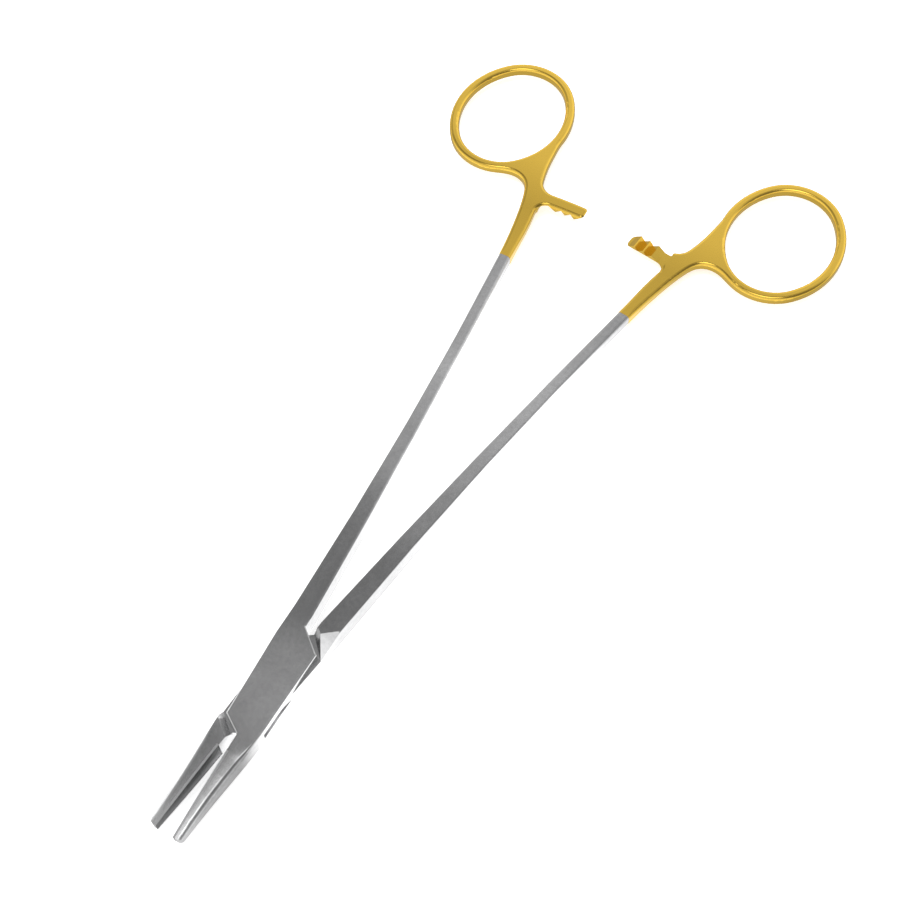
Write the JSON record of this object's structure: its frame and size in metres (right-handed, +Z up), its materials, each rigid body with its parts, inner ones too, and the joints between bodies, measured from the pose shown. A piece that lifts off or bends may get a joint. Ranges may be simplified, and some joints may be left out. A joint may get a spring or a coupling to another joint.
{
  "type": "surgical needle holder",
  "caption": "Surgical needle holder with box lock, ratchet bars, gold-plated finger rings and knurled hard-metal jaw inserts.",
  "frame": {"origin": "on the pivot axis, in the plane that the box lock rests on", "axes": "+Y along the middle line from the pivot towards the finger rings, +X towards the ring of the male arm, +Z up along the pivot axis"},
  "size_m": [0.0888, 0.1779, 0.0046],
  "materials": {
    "steel": "satin stainless steel, gold plated from the end of the shanks to the finger rings",
    "insert": "dark sintered hard metal with a fine knurl on the gripping face"
  },
  "bodies": {
    "female": {"female_arm": "steel", "pivot_pin": "steel", "female_jaw_insert": "insert"},
    "male": {"male_arm": "steel", "male_jaw_insert": "insert"}
  },
  "joints": [
    {"name": "box_lock", "type": "hinge", "parent": "female", "child": "male", "pos_m": [0, 0, 0.0023], "axis": [0, 0, 1], "range_deg": [-34, 6.4]}
  ]
}
